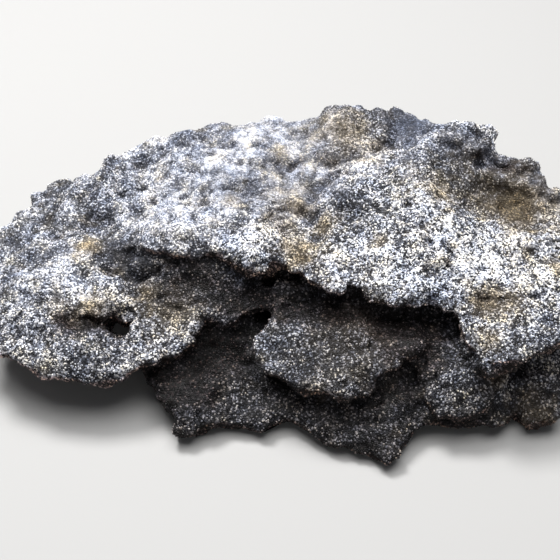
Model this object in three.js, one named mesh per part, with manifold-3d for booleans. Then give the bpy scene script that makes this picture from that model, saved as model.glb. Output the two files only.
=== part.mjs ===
// A fulgurite: a natural crust of sand that lightning has fused into glass. It is one rigid piece, made
// of lumpy sheets that grew out of a common core and stand one above another like brackets.
// Millimetres, +Z up, +X along the specimen, -Y towards its open front. It rests on worn spots at z = 0.
import * as THREE from "three";
import { mergeVertices } from "three/addons/utils/BufferGeometryUtils.js";
import { ImprovedNoise } from "three/addons/math/ImprovedNoise.js";
import Module from "manifold-3d";

const wasm = await Module();
wasm.setup();

const rimRings = 2; // steps round the edge of a sheet, from its upper face to its lower one
const curveSteps = 600; // how finely a rim is measured along its length
const upperReach = 0.965; // share of the way out at which a sheet starts to round over its edge
const lowerReach = 0.91; // and the same for its underside, which the edge hangs over
const midHeight = 8; // sheets above it carry the swells, sheets below it carry the feet
const ragged = [
  { wave: 5.2, depth: 0.9 },
  { wave: 2.3, depth: 0.6 },
]; // bites in the rims
const bent = [
  { wave: 11, depth: 0.7 },
  { wave: 5, depth: 0.25 },
]; // rise and fall of a whole sheet
const lumpy = [
  { wave: 6.1, depth: 0.8 },
  { wave: 3.6, depth: 0.45 },
]; // swellings of a face
const lumpsAtEdge = 0.3; // share of the swellings of a face that is left at its edge
const swellsAtEdge = 0.55; // and the same for the swells
const biteFade = 6; // power by which the bites die out inwards
const riseFade = 3; // power by which a sheet thickens inwards
const groundSpan = 200; // side of the block that stands for the ground

// Broad swells and hollows of the upper surfaces: where, how far they reach and how much they rise.
const swells = [
  { at: [16, 7], reach: 10, rise: 2.7 }, // high dome on the right
  { at: [5, 13.5], reach: 4, rise: -2.7 }, // valley between the dome and the left plateau
  { at: [2.5, 4.5], reach: 3.5, rise: -2.3 },
  { at: [-6, 9], reach: 6, rise: 0.7 },
  { at: [15, 21], reach: 4, rise: -2.4 }, // dip behind the dome
  { at: [9.5, 25], reach: 4.5, rise: 1.5 }, // block at the back
  { at: [24, 21], reach: 3, rise: 2 }, // crest of knobs along the back of the right end
  { at: [28.5, 18.5], reach: 2.4, rise: 2.2 },
  { at: [32, 16], reach: 2.2, rise: 2.2 },
  { at: [35, 12.5], reach: 2.4, rise: 2 },
  { at: [31, 9], reach: 4.5, rise: -2.8 }, // hollow below the crest
  { at: [-18, 18], reach: 3, rise: -1.3 }, // pits of the left plateau
  { at: [-12, 18], reach: 9, rise: 1.2 },
  { at: [-8, 21], reach: 2.5, rise: -1 },
  { at: [-24.5, 10], reach: 3.5, rise: -1.6 },
  { at: [-22.5, 18.5], reach: 2.2, rise: 1.4 }, // knots along the back of the left end
  { at: [-12.5, 22.5], reach: 2, rise: 1.3 },
  { at: [-27.5, 16.5], reach: 2, rise: 1.2 },
  { at: [-35, 14.5], reach: 2.2, rise: 1.1 },
];

// Each sheet is given by its rim, anticlockwise from above, by the spine that it swells from, by how far it
// rises over the spine and sinks below it, by its edge above and below the rim, and by its cells a side.
const sheets = {
  top: {
    rim: [
      [41.5, 0, 13.2], [39, 6, 14.2], [37, 11.5, 15], [36, 14.5, 15.5], [33, 19, 16.2], [30.5, 20.3, 16.5],
      [29.5, 24.5, 16.8], [24, 25.8, 17.5], [13, 28, 18.6], [7.5, 28, 18.6], [5, 26.8, 18],
      [-2.5, 27.5, 17.6], [-11.5, 25.5, 16.6], [-18.5, 24, 15.6], [-24, 20.8, 14.6], [-26.5, 14, 13],
      [-24.5, 6, 13.2], [-20.5, 3.2, 14.5], [-15.5, 1.5, 15.3], [-10.5, 1, 15.8], [-7.5, -0.3, 15.8],
      [-4.5, -2.4, 15.8], [-1.5, -1.5, 16], [1, 0.3, 16], [3, -3.5, 16], [5, -6, 15.5], [8.5, -5, 15.5],
      [11.5, -6.5, 15.5], [15, -7, 15], [20.5, -8, 14.6], [23, -9.5, 13.8], [22.5, -12, 13],
      [23.5, -14, 12.2], [26, -17.2, 11], [30, -15, 11.4], [34.5, -13, 12], [39, -9.5, 12.6],
    ],
    spine: [[-12, 14, 15.5], [26, 6, 15.5]],
    crown: 1.8, belly: 2.2, edge: [0.3, 3.2], cells: 26, seed: 1,
  },
  left: {
    rim: [
      [-3, 7.5, 12.2], [-16.5, 17, 13], [-24, 21.5, 13.4], [-25.5, 17.6, 12.6], [-31, 17.4, 11.8],
      [-35.5, 16.5, 10.8], [-36.8, 13, 10.2], [-39, 8.6, 9.7], [-40.5, -1, 9], [-36.8, -10, 8],
      [-32, -13, 7.5], [-27.5, -15.5, 7], [-24, -15, 7], [-20.5, -15, 6.5], [-17.5, -12, 7], [-13, -10, 7.5],
      [-11, -8.6, 8.6], [-9.6, -6.4, 10.2], [-7.9, -6, 10.2], [-6.4, -7, 10], [-4.8, -6.8, 10.2],
      [-3.9, -5, 10.8], [-3.8, -2, 11.6], [-2.5, 2, 12.2],
    ],
    spine: [[-29, 4, 11.2], [-15, 4, 12]],
    crown: 1.6, belly: 3.2, edge: [0.8, 1.4], cells: 18, seed: 2,
  },
  middle: {
    rim: [
      [22, -7, 9], [20, 4, 10], [5, 5, 11], [-1, 0, 11], [-2.5, -6, 10.5], [-3.5, -10.5, 8.5], [-2, -13, 8],
      [0.5, -15.5, 7.5], [3, -17, 7.5], [8, -18.2, 7], [11.5, -18, 7], [12.5, -15.5, 7.5], [14.5, -13.5, 8],
      [17, -12, 9],
    ],
    spine: [[4, -5, 9.5], [12, -5, 9.5]],
    crown: 1.2, belly: 2.4, edge: [0.6, 1], cells: 14, seed: 3,
  },
  base: {
    rim: [
      [22, -10, 4.5], [20, 4, 6], [-5, 6, 6], [-16, -2, 6], [-18.2, -11, 4.8], [-16.5, -13.5, 3.8],
      [-14.5, -15.5, 3.2], [-13, -18, 2.2], [-10, -18, 2], [-5, -17.3, 2.2], [-2.5, -18, 2.2],
      [1.5, -17.5, 2.4], [4, -20, 2.2], [8, -20.5, 2], [10.5, -22.5, 1.7], [13, -24.2, 1.5],
      [14.7, -24, 1.5], [16, -21, 1.8], [18.5, -18, 2.2],
    ],
    spine: [[-8, -4, 5], [14, -6, 5]],
    crown: 1.4, belly: 1.7, edge: [0.8, 1.2], cells: 16, seed: 4,
  },
  right: {
    rim: [
      [39, -9.5, 5], [38, 0, 7], [30, 6, 8], [20, 2, 7], [15, -8, 5.5], [17, -17.5, 2.6], [20.5, -18.5, 2.2],
      [25.5, -18.5, 2.2], [28.5, -18, 2.6], [30.5, -15.5, 3.2], [32, -18, 2.2], [34, -17.2, 2.2],
      [35.5, -17, 2.6], [37, -14, 3.3],
    ],
    spine: [[23, -6, 6], [31, -3, 7]],
    crown: 2.2, belly: 3.4, edge: [0.9, 1.2], cells: 13, seed: 5,
  },
  lobe: {
    rim: [
      [30, -8, 8], [26, -2, 9], [18, -4, 8.5], [17, -10, 7.5], [18, -15, 6], [20, -18, 4.5], [23.5, -19.3, 4],
      [26.5, -18.5, 4.5], [28.5, -16, 5.5], [29.5, -13, 7],
    ],
    spine: [[22, -9, 7.5], [25, -9, 7.5]],
    crown: 2, belly: 2.5, edge: [0.6, 1], cells: 9, seed: 6,
  },
  heel: {
    rim: [
      [34, 10, 6.5], [31, 17, 4.5], [25, 20.5, 3.2], [19, 19, 3.6], [13, 16, 5], [8, 19.5, 4], [2, 24, 3],
      [-6, 25, 2.6], [-13, 22, 3], [-20, 17.5, 4.5], [-24, 9, 7], [-12, 3, 7], [6, 2, 6], [24, 0, 6.5],
    ],
    spine: [[-8, 12, 6], [20, 9, 6]],
    crown: 3, belly: 3.8, edge: [0.9, 0.9], cells: 12, seed: 7,
  },
  back: {
    rim: [
      [38, 6, 9.5], [35, 14, 7.8], [29, 20.5, 7], [22, 21, 7.5], [16, 25, 8.2], [8, 27.5, 9.5], [1, 24, 11],
      [-8, 25.5, 11.5], [-18, 22, 12], [-26, 12, 11.5], [-12, 4, 10], [12, 4, 9.5], [30, 0, 9.5],
    ],
    spine: [[-10, 12, 10], [22, 11, 9.5]],
    crown: 4.5, belly: 4, edge: [0.8, 1.6], cells: 13, seed: 8,
  },
  knuckle: {
    rim: [
      [36, 15, 12.5], [33, 20.5, 12], [28, 24, 12.4], [23, 23, 13], [20, 18, 13.5], [24, 10, 13],
      [32, 9, 12.5],
    ],
    spine: [[27, 17, 13], [29, 16, 13]],
    crown: 2, belly: 4, edge: [0.7, 0.9], cells: 7, seed: 9,
  },
};

// Low lumps of the underside, whose worn tips the piece stands on.
const feet = [
  { at: [-8, -12], reach: 3.6, rise: 1.7 },
  { at: [11, -16], reach: 3.4, rise: 1.3 },
  { at: [27, -11], reach: 3.4, rise: 1.4 },
  { at: [-8, 17], reach: 4.5, rise: 1.5 },
  { at: [22, 13.5], reach: 5, rise: 2.6 },
];

// Burst bubbles: a wide pit under a lip in the left sheet, the vent that goes on through it, and caves that
// run in between the sheets.
const vents = [
  { at: [-23.6, -6.2, 11], radii: [4.5, 1.7, 3.2], lean: 0.85, seed: 11 },
  { at: [-20.8, -6.2, 8.5], radii: [1.8, 1.3, 7], lean: 0.85, seed: 12 },
  { at: [-5.5, -3, 6.8], radii: [3.6, 4.2, 2.6], lean: 0.3, seed: 14 },
  { at: [-18.8, 1.4, 12.3], radii: [4.6, 2.8, 1.7], lean: 0.2, seed: 15 },
];

// The thick middle that the sheets grew out of.
const cores = [
  { at: [8, 6.5, 9], radii: [20, 7.5, 4.4], seed: 10 },
  { at: [18.5, -2.5, 7.8], radii: [10.5, 5.5, 3], seed: 13 },
];

const noise = new ImprovedNoise();
const noisePeak = 0.62; // about the largest value that the noise takes
const seedStep = 31.7; // how far apart in the noise two seeds lie

// Sum of noise waves at a point, each of its own wavelength and depth. A seed moves to another stretch.
function waves(point, layers, seed) {
  let sum = 0;
  for (const { wave, depth } of layers) {
    const away = seedStep * seed + wave;
    const value = noise.noise(point.x / wave + away, point.y / wave - away, point.z / wave + away / 2);
    sum += (depth * value) / noisePeak;
  }
  return sum;
}

// Height at a place of a list of round mounds.
function mounds(list, x, y) {
  let sum = 0;
  for (const { at, reach, rise } of list) {
    sum += rise * Math.exp(-((x - at[0]) ** 2 + (y - at[1]) ** 2) / reach ** 2);
  }
  return sum;
}

// Turns a point of a square face into its share of the way out and its share of a turn, ring by ring.
function ringPlace(a, b) {
  const out = Math.max(Math.abs(a), Math.abs(b));
  if (out === 0) return { out, turn: 0 };
  let eighths;
  if (Math.abs(a) >= Math.abs(b)) eighths = (a > 0 ? 0 : 4) + b / a;
  else eighths = (b > 0 ? 2 : 6) - a / b;
  return { out, turn: (eighths / 8 + 1) % 1 };
}

// Moves each vertex along its normal by the noise.
function roughen(geometry, layers, seed) {
  geometry.computeVertexNormals();
  const places = geometry.attributes.position;
  const point = new THREE.Vector3();
  const normal = new THREE.Vector3();
  for (let i = 0; i < places.count; i += 1) {
    point.fromBufferAttribute(places, i);
    normal.fromBufferAttribute(geometry.attributes.normal, i);
    point.addScaledVector(normal, waves(point, layers, seed));
    places.setXYZ(i, point.x, point.y, point.z);
  }
  geometry.deleteAttribute("normal");
}

// The geometry with only its places, shared by the faces that meet there.
function bare(geometry) {
  geometry.deleteAttribute("normal");
  geometry.deleteAttribute("uv");
  return mergeVertices(geometry, 1e-5);
}

// A box wrapped onto the sheet: its square faces become the upper and lower face, its sides the edge.
function sheetGeometry({ rim, spine, crown, belly, edge, cells, seed }) {
  const outline = new THREE.CatmullRomCurve3(rim.map((p) => new THREE.Vector3(...p)), true, "centripetal");
  outline.arcLengthDivisions = curveSteps;
  const spineLine = new THREE.Line3(...spine.map((p) => new THREE.Vector3(...p)));
  const middle = spineLine.getCenter(new THREE.Vector3());
  const geometry = bare(new THREE.BoxGeometry(2, 2, 2, cells, cells, rimRings));
  const places = geometry.attributes.position;
  const root = new THREE.Vector3();
  const point = new THREE.Vector3();
  for (let i = 0; i < places.count; i += 1) {
    const { out, turn } = ringPlace(places.getX(i), places.getY(i));
    const side = places.getZ(i); // 1 on the upper face, -1 on the lower one, between them round the edge
    const faceReach = side > 0 ? upperReach : lowerReach;
    const reach = Math.abs(side) === 1 ? out * faceReach : 1;
    outline.getPointAt(turn, point);
    spineLine.closestPointToPoint(point, true, root);
    root.lerpVectors(middle, root, reach);
    const outward = point.clone().sub(root).setZ(0).normalize();
    const bite = waves(point, ragged, seed) * reach ** biteFade; // one bite for a whole ray, so none folds
    const lip = edge[1] * (1 + waves(point, bent, seed + 0.25));
    point.lerpVectors(root, point, reach).addScaledVector(outward, bite);
    const inward = 1 - reach ** riseFade;
    const lumpShare = Math.min(1, inward + lumpsAtEdge);
    const swellShare = Math.min(1, inward + swellsAtEdge);
    const high = point.z > midHeight;
    const { x, y } = point;
    let rise = 0;
    if (side > 0) {
      const swell = high ? mounds(swells, x, y) : 0;
      rise = edge[0] + crown * inward + swell * swellShare + waves(point, lumpy, seed) * lumpShare;
    } else if (side < 0) {
      const lower = belly + (high ? 0 : mounds(feet, x, y));
      rise = -lip - lower * inward - waves(point, lumpy, seed + 0.5) * lumpShare;
    }
    places.setXYZ(i, x, y, point.z + waves(point, bent, seed) + rise);
  }
  return geometry;
}

// A rough round lump, which may lean back from upright.
function lumpGeometry({ at, radii, lean = 0, seed }) {
  const geometry = bare(new THREE.IcosahedronGeometry(1, 2)).scale(...radii);
  roughen(geometry, ragged, seed);
  return geometry.rotateX(lean).translate(...at);
}

function solidOf(geometry) {
  return new wasm.Manifold(
    new wasm.Mesh({
      numProp: 3,
      vertProperties: new Float32Array(geometry.attributes.position.array),
      triVerts: new Uint32Array(geometry.index.array),
    }),
  );
}

function geometryOf(solid) {
  const { vertProperties, triVerts } = solid.getMesh();
  return new THREE.BufferGeometry()
    .setAttribute("position", new THREE.BufferAttribute(vertProperties, 3))
    .setIndex(new THREE.BufferAttribute(triVerts, 1));
}

const grown = [...Object.values(sheets).map(sheetGeometry), ...cores.map(lumpGeometry)];
let body = wasm.Manifold.union(grown.map(solidOf));
body = body.subtract(wasm.Manifold.union(vents.map((vent) => solidOf(lumpGeometry(vent)))));
const ground = new THREE.BoxGeometry(groundSpan, groundSpan, groundSpan).translate(0, 0, -groundSpan / 2);
body = body.subtract(solidOf(bare(ground))); // the tips of the feet are worn flat on it

const crust = new THREE.Mesh(
  geometryOf(body),
  new THREE.MeshStandardMaterial({ color: 0x8f8f8c, roughness: 0.85, metalness: 0 }),
);
crust.name = "fulgurite";
const { min, max } = new THREE.Box3().setFromObject(crust);
crust.position.set(-(min.x + max.x) / 2, -(min.y + max.y) / 2, 0); // the origin is under the middle

const fulgurite = new THREE.Group();
fulgurite.add(crust);

export default fulgurite;
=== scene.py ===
import math

import bmesh
import bpy
import numpy as np
from mathutils import Matrix, Vector, noise
from mathutils.bvhtree import BVHTree


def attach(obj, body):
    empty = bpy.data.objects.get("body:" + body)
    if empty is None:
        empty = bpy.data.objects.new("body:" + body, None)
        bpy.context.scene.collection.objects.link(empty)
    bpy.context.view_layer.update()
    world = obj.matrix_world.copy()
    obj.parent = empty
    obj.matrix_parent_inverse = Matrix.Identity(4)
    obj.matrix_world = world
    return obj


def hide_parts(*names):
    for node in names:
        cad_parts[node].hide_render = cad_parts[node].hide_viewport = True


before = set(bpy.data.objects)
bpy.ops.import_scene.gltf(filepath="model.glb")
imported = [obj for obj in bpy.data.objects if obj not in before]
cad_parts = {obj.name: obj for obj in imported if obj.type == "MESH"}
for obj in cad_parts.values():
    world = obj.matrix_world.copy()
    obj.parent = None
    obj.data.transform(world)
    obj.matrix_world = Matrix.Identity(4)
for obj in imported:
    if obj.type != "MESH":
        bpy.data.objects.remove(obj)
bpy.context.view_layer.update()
mm = 0.001


def makeObject(name, data):
    piece = bpy.data.objects.new(name, data)
    bpy.context.collection.objects.link(piece)
    return piece


def applyModifiers(piece):
    graph = bpy.context.evaluated_depsgraph_get()
    finished = bpy.data.meshes.new_from_object(piece.evaluated_get(graph))
    piece.modifiers.clear()
    piece.data = finished
    finished.name = piece.name


def readPoints(mesh):
    places = np.empty(len(mesh.vertices) * 3)
    mesh.vertices.foreach_get("co", places)
    return places.reshape(-1, 3) / mm


def readNormals(mesh):
    normals = np.empty(len(mesh.vertices) * 3)
    mesh.vertex_normals.foreach_get("vector", normals)
    return normals.reshape(-1, 3)


def writePoints(mesh, places):
    mesh.vertices.foreach_set("co", (places * mm).ravel())
    mesh.update()


def writeMask(mesh, name, values):
    mask = mesh.attributes.new(name, "FLOAT", "POINT")
    mask.data.foreach_set("value", np.clip(values, 0, 1).astype(np.float32))


# ---- the crust: the plain solid gets a fine skin, which is then roughened ----
# sizes and heights in millimetres, ramps as (start, length), contrasts as (gain, cut)
crustLook = {
    "mergeWithin": 0.002,
    "skinStep": 0.37,
    "softness": 0.5,
    "softTurns": 4,
    "mapAngle": 1.15,
    "mapMargin": 0.001,
    "swellSize": 5.2,
    "swellHeight": 0.75,
    "clumpSize": 2.1,
    "clumpHeight": 0.5,
    "crumbSize": 0.9,
    "crumbHeight": 0.34,
    "bumpLevel": 0.55,
    "rimTurns": 8,
    "rimBulge": 0.22,
    "rimGain": 1.6,
    "raggedSize": 1.7,
    "raggedHeight": 0.65,
    "wallSize": 1.2,
    "wallHeight": 0.5,
    "wallContrast": (1.5, -1.1),
    "pitSize": 1.7,
    "pitDepth": 0.55,
    "pitRamp": (0.32, 0.25),
    "crestReach": 2.8,
    "crestGain": 2.2,
    "flatBelow": 0.12,
    "topLimit": 21.05,
}

# each use of the noise reads its own stretch of it
noiseShifts = {
    "swells": 11,
    "clumps": 4,
    "crumbs": 9,
    "rims": 37,
    "walls": 53,
    "pits": 23,
    "stainEdges": 31,
    "patches": 47,
    "clouds": 83,
    "specks": 59,
    "warmth": 71,
}

# (x, y, z, then three radii): lumps that melt into the solid before it gets its skin
lumps = [
    (-4.4, -6.0, 10.6, 3.0, 2.8, 1.1),
    (-5.2, -4.8, 5.4, 3.9, 3.2, 2.2),
    (8.5, -16.4, 4.9, 4.5, 2.2, 1.4),
    (12.5, -15.0, 6.2, 3.4, 2.2, 1.6),
    (15.6, -12.2, 7.4, 2.8, 2.2, 2.0),
    (17.8, -11.6, 8.6, 2.2, 1.8, 1.5),
    (-4.2, -3.2, 10.6, 2.2, 1.7, 1.7),
    (-5.2, -6.4, 7.6, 3.2, 1.8, 1.6),
    (-28.2, -8.2, 10.0, 1.9, 1.8, 1.3),
    (-25.4, -8.0, 9.9, 2.0, 1.0, 1.1),
    (-26.5, -7.4, 10.1, 1.7, 1.7, 1.2),
    (-24.6, -6.6, 10.3, 2.2, 1.1, 1.3),
    (-22.4, -6.2, 10.0, 1.8, 1.1, 1.3),
    (-18.6, -0.4, 12.0, 2.4, 1.5, 1.3),
    (-21.6, 0.3, 11.7, 3.2, 1.8, 1.6),
    (-20.6, -0.4, 10.2, 4.4, 2.6, 1.8),
    (-20.0, 1.4, 11.0, 4.0, 1.8, 1.8),
    (-24.3, 18.0, 15.2, 1.3, 1.2, 1.1),
    (-23.9, 15.9, 15.2, 1.2, 1.2, 1.0),
    (-19.4, 20.4, 16.0, 0.8, 0.8, 0.7),
    (-13.1, 19.5, 17.7, 1.3, 1.2, 1.0),
    (-27.8, 16.4, 13.0, 1.2, 1.0, 0.9),
    (-24.6, 16.4, 13.4, 2.4, 1.6, 1.2),
    (-27.4, 15.6, 12.5, 2.6, 1.8, 1.2),
    (-30.8, 15.2, 11.6, 2.8, 2.2, 1.4),
    (-33.4, 14.0, 10.8, 2.4, 2.4, 1.4),
    (-36.4, 11.4, 10.2, 1.0, 1.0, 0.8),
    (22.4, 17.4, 19.2, 1.4, 1.1, 1.0),
    (24.9, 17.2, 19.6, 1.6, 1.1, 1.0),
    (25.6, 20.0, 18.4, 2.8, 2.4, 1.9),
    (28.0, 19.6, 18.2, 1.8, 1.9, 1.8),
    (32.8, 13.6, 17.2, 2.0, 1.5, 1.4),
    (34.4, 12.2, 16.1, 1.7, 1.7, 1.4),
    (35.0, 10.2, 15.6, 1.7, 1.8, 1.4),
    (36.2, 9.8, 15.9, 1.5, 1.5, 1.2),
    (27.0, 15.8, 19.0, 1.3, 1.0, 1.0),
    (29.2, 14.8, 17.7, 1.3, 1.1, 1.0),
    (31.6, 14.0, 17.3, 1.3, 1.1, 1.0),
    (33.7, 12.7, 16.7, 1.2, 1.2, 1.0),
    (34.9, 10.6, 16.1, 1.2, 1.2, 1.0),
    (35.8, 9.0, 15.8, 1.0, 1.0, 0.9),
    (15.8, 25.4, 18.2, 1.2, 0.9, 0.8),
    (17.8, 24.4, 17.8, 1.6, 1.0, 0.7),
    (-13.6, -0.5, 15.5, 2.6, 1.6, 1.2),
    (-11.4, -0.8, 15.0, 1.8, 1.3, 1.2),
    (0.4, -2.0, 14.8, 2.6, 1.8, 1.3),
    (2.4, -4.0, 15.2, 2.0, 1.5, 1.1),
    (-3.6, -4.1, 14.8, 2.0, 1.3, 1.0),
    (5.8, -7.6, 15.1, 2.2, 1.2, 0.9),
    (-18.0, -13.2, 7.9, 2.4, 1.6, 0.9),
    (-20.6, -14.6, 7.9, 2.0, 1.4, 0.8),
    (-15.6, -11.2, 8.3, 1.9, 1.4, 0.9),
    (-13.7, -12.0, 8.2, 1.6, 1.2, 0.8),
    (11.6, -8.9, 14.0, 1.6, 0.9, 0.7),
    (14.2, -9.7, 13.9, 1.8, 0.9, 0.8),
    (17.0, -9.8, 13.7, 1.8, 0.9, 0.8),
    (19.8, -9.8, 13.4, 1.6, 0.9, 0.8),
]

# (x, y, z, width, height): knobs stand out of the skin, negative ones are pits
knobs = [
    (8.5, 19.5, 19.3, 4.0, 0.7),
    (9.5, 6.8, 18.3, 3.2, 0.6),
    (12.0, 11.0, 19.0, 3.0, 0.4),
    (-3.0, 14.1, 18.9, 0.7, 0.5),
    (-20.0, 8.7, 14.5, 0.7, 0.5),
    (9.2, 5.6, 18.6, 1.0, 0.4),
    (7.4, 8.2, 17.9, 0.8, 0.4),
    (10.6, 3.6, 18.9, 0.8, 0.4),
    (-25.1, 8.7, 12.8, 1.8, -0.8),
    (-26.6, 13.1, 14.1, 1.0, -0.5),
    (-23.6, 5.7, 13.1, 1.0, -0.5),
    (-6.0, 8.6, 18.4, 2.2, -0.7),
    (-3.9, 10.4, 17.8, 1.0, -0.4),
    (-10.9, 7.9, 17.5, 1.0, -0.4),
    (0.1, 5.1, 17.4, 0.9, -0.5),
    (16.2, 3.5, 19.8, 0.45, -1.5),
    (15.0, 9.3, 19.7, 0.8, -0.5),
    (16.9, 15.5, 18.7, 0.7, -0.5),
    (4.1, -0.2, 16.7, 1.6, -0.6),
    (2.9, -3.8, 16.7, 1.2, -0.4),
    (27.0, 9.6, 17.2, 2.4, -1.0),
    (31.2, 8.6, 15.8, 2.6, -1.3),
    (17.6, 13.4, 19.8, 2.0, -0.6),
    (-20.2, 8.7, 14.3, 1.0, -0.5),
    (-28.4, 7.7, 13.0, 1.3, -0.4),
    (-5.8, 2.0, 17.9, 1.3, -0.5),
    (-2.3, 2.8, 17.6, 1.2, -0.5),
    (-12.0, 2.9, 18.0, 1.1, -0.4),
    (-13.1, 20.0, 18.0, 1.0, 0.7),
    (-24.3, 16.2, 15.7, 1.2, 0.4),
    (-20.0, 17.6, 16.0, 1.5, -0.5),
    (-8.8, 5.2, 18.2, 1.5, 0.4),
    (-14.5, 8.0, 16.8, 1.4, 0.4),
    (-8.0, 13.5, 18.6, 2.0, 0.4),
    (23.3, 2.6, 18.6, 1.2, -0.4),
    (15.3, -3.6, 18.6, 0.8, -0.4),
    (18.7, -6.5, 16.8, 1.2, -0.5),
    (25.4, -9.2, 14.4, 1.7, -0.9),
    (28.2, -9.0, 14.4, 1.5, -0.7),
    (26.0, -14.0, 13.2, 1.2, -0.3),
    (29.4, -12.9, 13.3, 0.5, -0.5),
    (-34.2, -8.7, 10.9, 0.5, -0.8),
    (7.6, -8.8, 12.6, 1.6, -0.7),
    (24.4, 15.2, 19.0, 2.0, 0.6),
    (26.8, 13.9, 18.5, 0.8, -0.9),
    (29.2, 13.6, 18.0, 0.9, -1.0),
    (31.6, 13.3, 17.4, 0.8, -0.9),
    (-29.0, -2.0, 12.0, 2.2, 0.4),
    (-32.0, -9.0, 11.0, 1.6, 0.3),
    (-18.0, -9.5, 9.8, 1.5, 0.4),
]

# the foot of the long ledge, where it overhangs the middle shelf
ledgeFoot = [
    (2.0, -5.6, 12.2), (5.0, -6.4, 12.3), (9.0, -6.2, 12.4), (12.3, -7.6, 11.7),
    (16.0, -8.9, 11.8), (19.6, -8.5, 11.0),
]
# the lip of the ledge, and the groove just behind it
ledgeLip = [
    (5.8, -6.9, 15.3), (8.4, -6.7, 15.1), (10.9, -8.3, 15.0), (13.4, -9.0, 15.1),
    (16.0, -9.3, 15.0), (18.5, -8.7, 14.8), (21.0, -10.0, 14.4), (23.2, -11.4, 13.8),
]
lipGroove = [(x, y + 1.5, z + 0.5) for x, y, z in ledgeLip]
# the back of the middle shelf, far in the shade of the ledge, with painted shade along it
shelfBack = [
    (-7.0, -7.0, 10.9), (-2.4, -7.6, 11.0), (2.0, -7.0, 10.8), (4.9, -8.6, 11.4),
    (8.4, -9.4, 11.8), (12.0, -9.2, 11.0), (15.6, -10.4, 10.8), (18.7, -11.0, 9.8),
]

# the dark crest at the back right, of glassy round lumps
crestLine = [
    (22.8, 17.2, 19.9), (25.6, 16.4, 19.6), (28.6, 14.8, 18.4), (31.6, 13.4, 17.6),
    (34.4, 11.2, 16.6), (36.4, 8.8, 15.8),
]

# (path, width, height): long ridges, and grooves where the height is negative
creases = [
    (ledgeFoot, 1.5, -1.5),
    (lipGroove, 0.5, -0.8),
    (ledgeLip, 0.9, 0.35),
    (shelfBack, 1.7, -0.8),
    ([(-28.4, -9.0, 10.6), (-26.0, -9.4, 10.4), (-23.6, -10.0, 10.4)], 1.0, -1.2),
    ([(-25.0, -9.0, 10.2), (-23.6, -9.6, 10.2), (-22.8, -10.0, 10.2)], 0.9, -1.0),
    ([(21.0, 17.6, 19.2), (25.0, 17.4, 20.0), (28.4, 15.4, 19.0)], 0.9, 0.6),
    ([(26.0, 19.0, 19.6), (27.6, 15.8, 18.8), (29.6, 14.2, 18.2),
      (32.2, 13.0, 17.4)], 0.6, -1.4),
    ([(25.4, 12.4, 17.6), (28.0, 12.0, 17.4), (30.7, 11.2, 17.0),
      (33.0, 10.4, 16.6)], 0.7, 0.8),
    ([(15.4, 24.4, 18.9), (15.0, 20.0, 17.9), (12.6, 16.4, 18.6), (8.2, 14.6, 18.7),
      (4.6, 13.8, 18.0)], 0.8, -0.8),
    ([(11.0, 14.4, 18.9), (7.0, 12.6, 17.8), (4.4, 10.4, 16.9), (3.4, 7.0, 17.2),
      (3.2, 4.0, 16.8)], 1.0, -1.1),
    ([(-25.2, -8.0, 9.4), (-23.8, -8.4, 9.3), (-22.4, -8.8, 9.4)], 0.7, -1.3),
    ([(0.4, 13.0, 17.9), (1.2, 8.0, 17.6), (1.6, 4.6, 16.9)], 2.2, -0.8),
    ([(7.6, 11.4, 18.6), (10.4, 13.6, 19.2), (14.0, 15.6, 19.2), (18.6, 15.6, 19.6)], 1.3, 0.5),
    ([(7.2, -3.6, 17.2), (12.0, -5.0, 17.8), (17.6, -4.6, 18.0), (23.0, -5.0, 16.8)], 1.8, 0.5),
    ([(29.4, -16.8, 6.0), (29.8, -18.8, 3.5), (29.2, -19.6, 1.5)], 0.6, -1.0),
    ([(23.6, -18.0, 12.0), (25.3, -19.8, 12.1), (27.8, -19.0, 12.3)], 2.0, -1.7),
    ([(23.4, 17.8, 20.4), (26.6, 16.0, 19.6), (28.6, 15.2, 19.0)], 0.45, -0.9),
    ([(29.6, 14.8, 18.6), (31.4, 14.0, 18.0), (32.8, 13.2, 17.6)], 0.4, -0.8),
]


def neighbours(mesh):
    ends = np.empty(len(mesh.edges) * 2, np.int32)
    mesh.edges.foreach_get("vertices", ends)
    return ends.reshape(-1, 2)


def spreadOut(values, ends, turns):
    # each turn moves every value half way to the mean of its neighbours
    count = np.bincount(ends.ravel(), minlength=len(values)).clip(1)
    columns = values.reshape(len(values), -1).copy()
    for _ in range(turns):
        for column in columns.T:
            total = np.bincount(ends[:, 0], column[ends[:, 1]], len(values))
            total += np.bincount(ends[:, 1], column[ends[:, 0]], len(values))
            column += (total / count - column) / 2
    return columns.reshape(values.shape)


def wander(places, size, octaves, use):
    # smooth noise around 0
    shift = noiseShifts[use]
    start = Vector((shift, shift * 0.37, -shift * 0.61))
    increment, gap = 0.8, 2.1
    return np.array(
        [noise.fractal(Vector(p) / size + start, increment, gap, octaves) for p in places]
    )


def cauliflower(places, size, use):
    # round bumps that meet in creases, from 0 in the creases to 1 on the bumps
    shift = noiseShifts[use]
    start = Vector((shift, -shift * 0.53, shift * 0.29))
    near = [noise.voronoi(Vector(p) / size + start)[0][0] for p in places]
    return np.clip(1 - np.array(near), 0, 1)


def distanceToPath(places, path):
    nearest = np.full(len(places), 1e9)
    for start, end in zip(path, path[1:]):
        a, b = np.array(start), np.array(end)
        along = np.clip((places - a) @ (b - a) / ((b - a) @ (b - a)), 0, 1)
        gap = np.linalg.norm(places - a - along[:, None] * (b - a), axis=1)
        nearest = np.minimum(nearest, gap)
    return nearest


def hump(distance, width):
    return np.exp(-((distance / width) ** 2))


def fade(values, start, length, least=0):
    # rises from the least value at the start to 1 a length further on
    return np.clip((values - start) / length, least, 1)


def contrast(values, gain, cut):
    return np.clip(values * gain - cut, 0, 1)


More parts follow.
